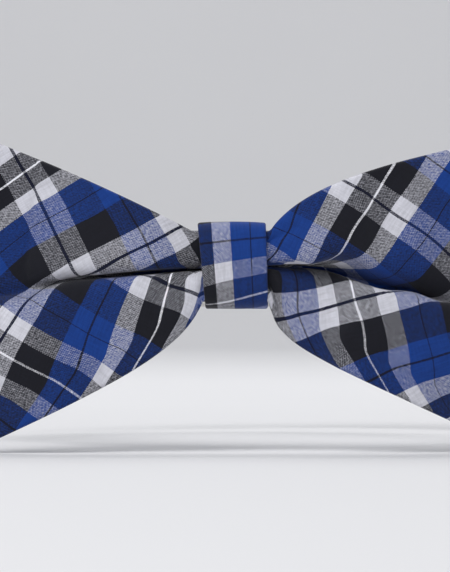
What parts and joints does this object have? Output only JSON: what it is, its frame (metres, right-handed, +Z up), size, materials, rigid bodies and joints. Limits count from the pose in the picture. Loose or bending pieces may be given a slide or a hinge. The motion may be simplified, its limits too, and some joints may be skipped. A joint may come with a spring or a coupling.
{
  "type": "bow tie",
  "caption": "Pre-tied plaid bow tie with a gathered bow, wrapped knot and an adjustable neck band that closes with a hook and eye.",
  "frame": {"origin": "on the axis of the neck that the band closes round, half way up the band", "axes": "+Z up along the neck, front of the bow towards -Y, +X to the right as seen from the front"},
  "size_m": [0.1275, 0.1481, 0.0638],
  "materials": {
    "plaid_cotton": "plain-woven cotton in a royal blue, black and white plaid, matt",
    "interlining": "unbleached woven interlining",
    "thread": "navy sewing thread",
    "nickel": "nickel-plated steel, satin"
  },
  "bodies": {
    "bow": {"bow_front_panel": "plaid_cotton", "bow_back_panel": "plaid_cotton", "bow_interlining": "interlining", "gather_thread": "thread", "knot_wrap": "plaid_cotton", "knot_interlining": "interlining", "knot_stitches": "thread", "band_front": "plaid_cotton", "band_front_interlining": "interlining"},
    "left_band": {"band_left": "plaid_cotton", "band_left_interlining": "interlining", "eye_bartack": "thread"},
    "eye": {"clasp_eye": "nickel"},
    "right_band": {"band_right": "plaid_cotton", "band_right_interlining": "interlining"},
    "hook_end": {"band_hook_leg": "plaid_cotton", "band_hook_leg_interlining": "interlining"},
    "slide": {"adjuster_slide": "nickel", "band_return": "plaid_cotton", "band_return_interlining": "interlining", "slide_bartack": "thread"},
    "hook": {"clasp_hook": "nickel"}
  },
  "joints": [
    {"name": "left_band_swing", "type": "hinge", "parent": "bow", "child": "left_band", "pos_m": [-0.05413, -0.03125, 0], "axis": [0, 0, 1], "range_deg": [0, 75]},
    {"name": "right_band_swing", "type": "hinge", "parent": "bow", "child": "right_band", "pos_m": [0.05543, -0.032, 0], "axis": [0, 0, -1], "range_deg": [0, 75]},
    {"name": "hook_end_travel", "type": "hinge", "parent": "right_band", "child": "hook_end", "pos_m": [0, 0, 0], "axis": [0, 0, -1], "range_deg": [0, 27.7]},
    {"name": "slide_travel", "type": "hinge", "parent": "hook_end", "child": "slide", "pos_m": [0, 0, 0], "axis": [0, 0, -1], "range_deg": [0, 27.7]},
    {"name": "hook_turn", "type": "hinge", "parent": "hook_end", "child": "hook", "pos_m": [0.0093, 0.06615, 0], "axis": [0, 0, 1], "range_deg": [-50, 20]},
    {"name": "eye_turn", "type": "hinge", "parent": "left_band", "child": "eye", "pos_m": [-0.01001, 0.06321, 0], "axis": [0, 0, 1], "range_deg": [-45, 15]}
  ],
  "couplings": [
    {"joint": "slide_travel", "follows": "hook_end_travel", "ratio": 1}
  ]
}
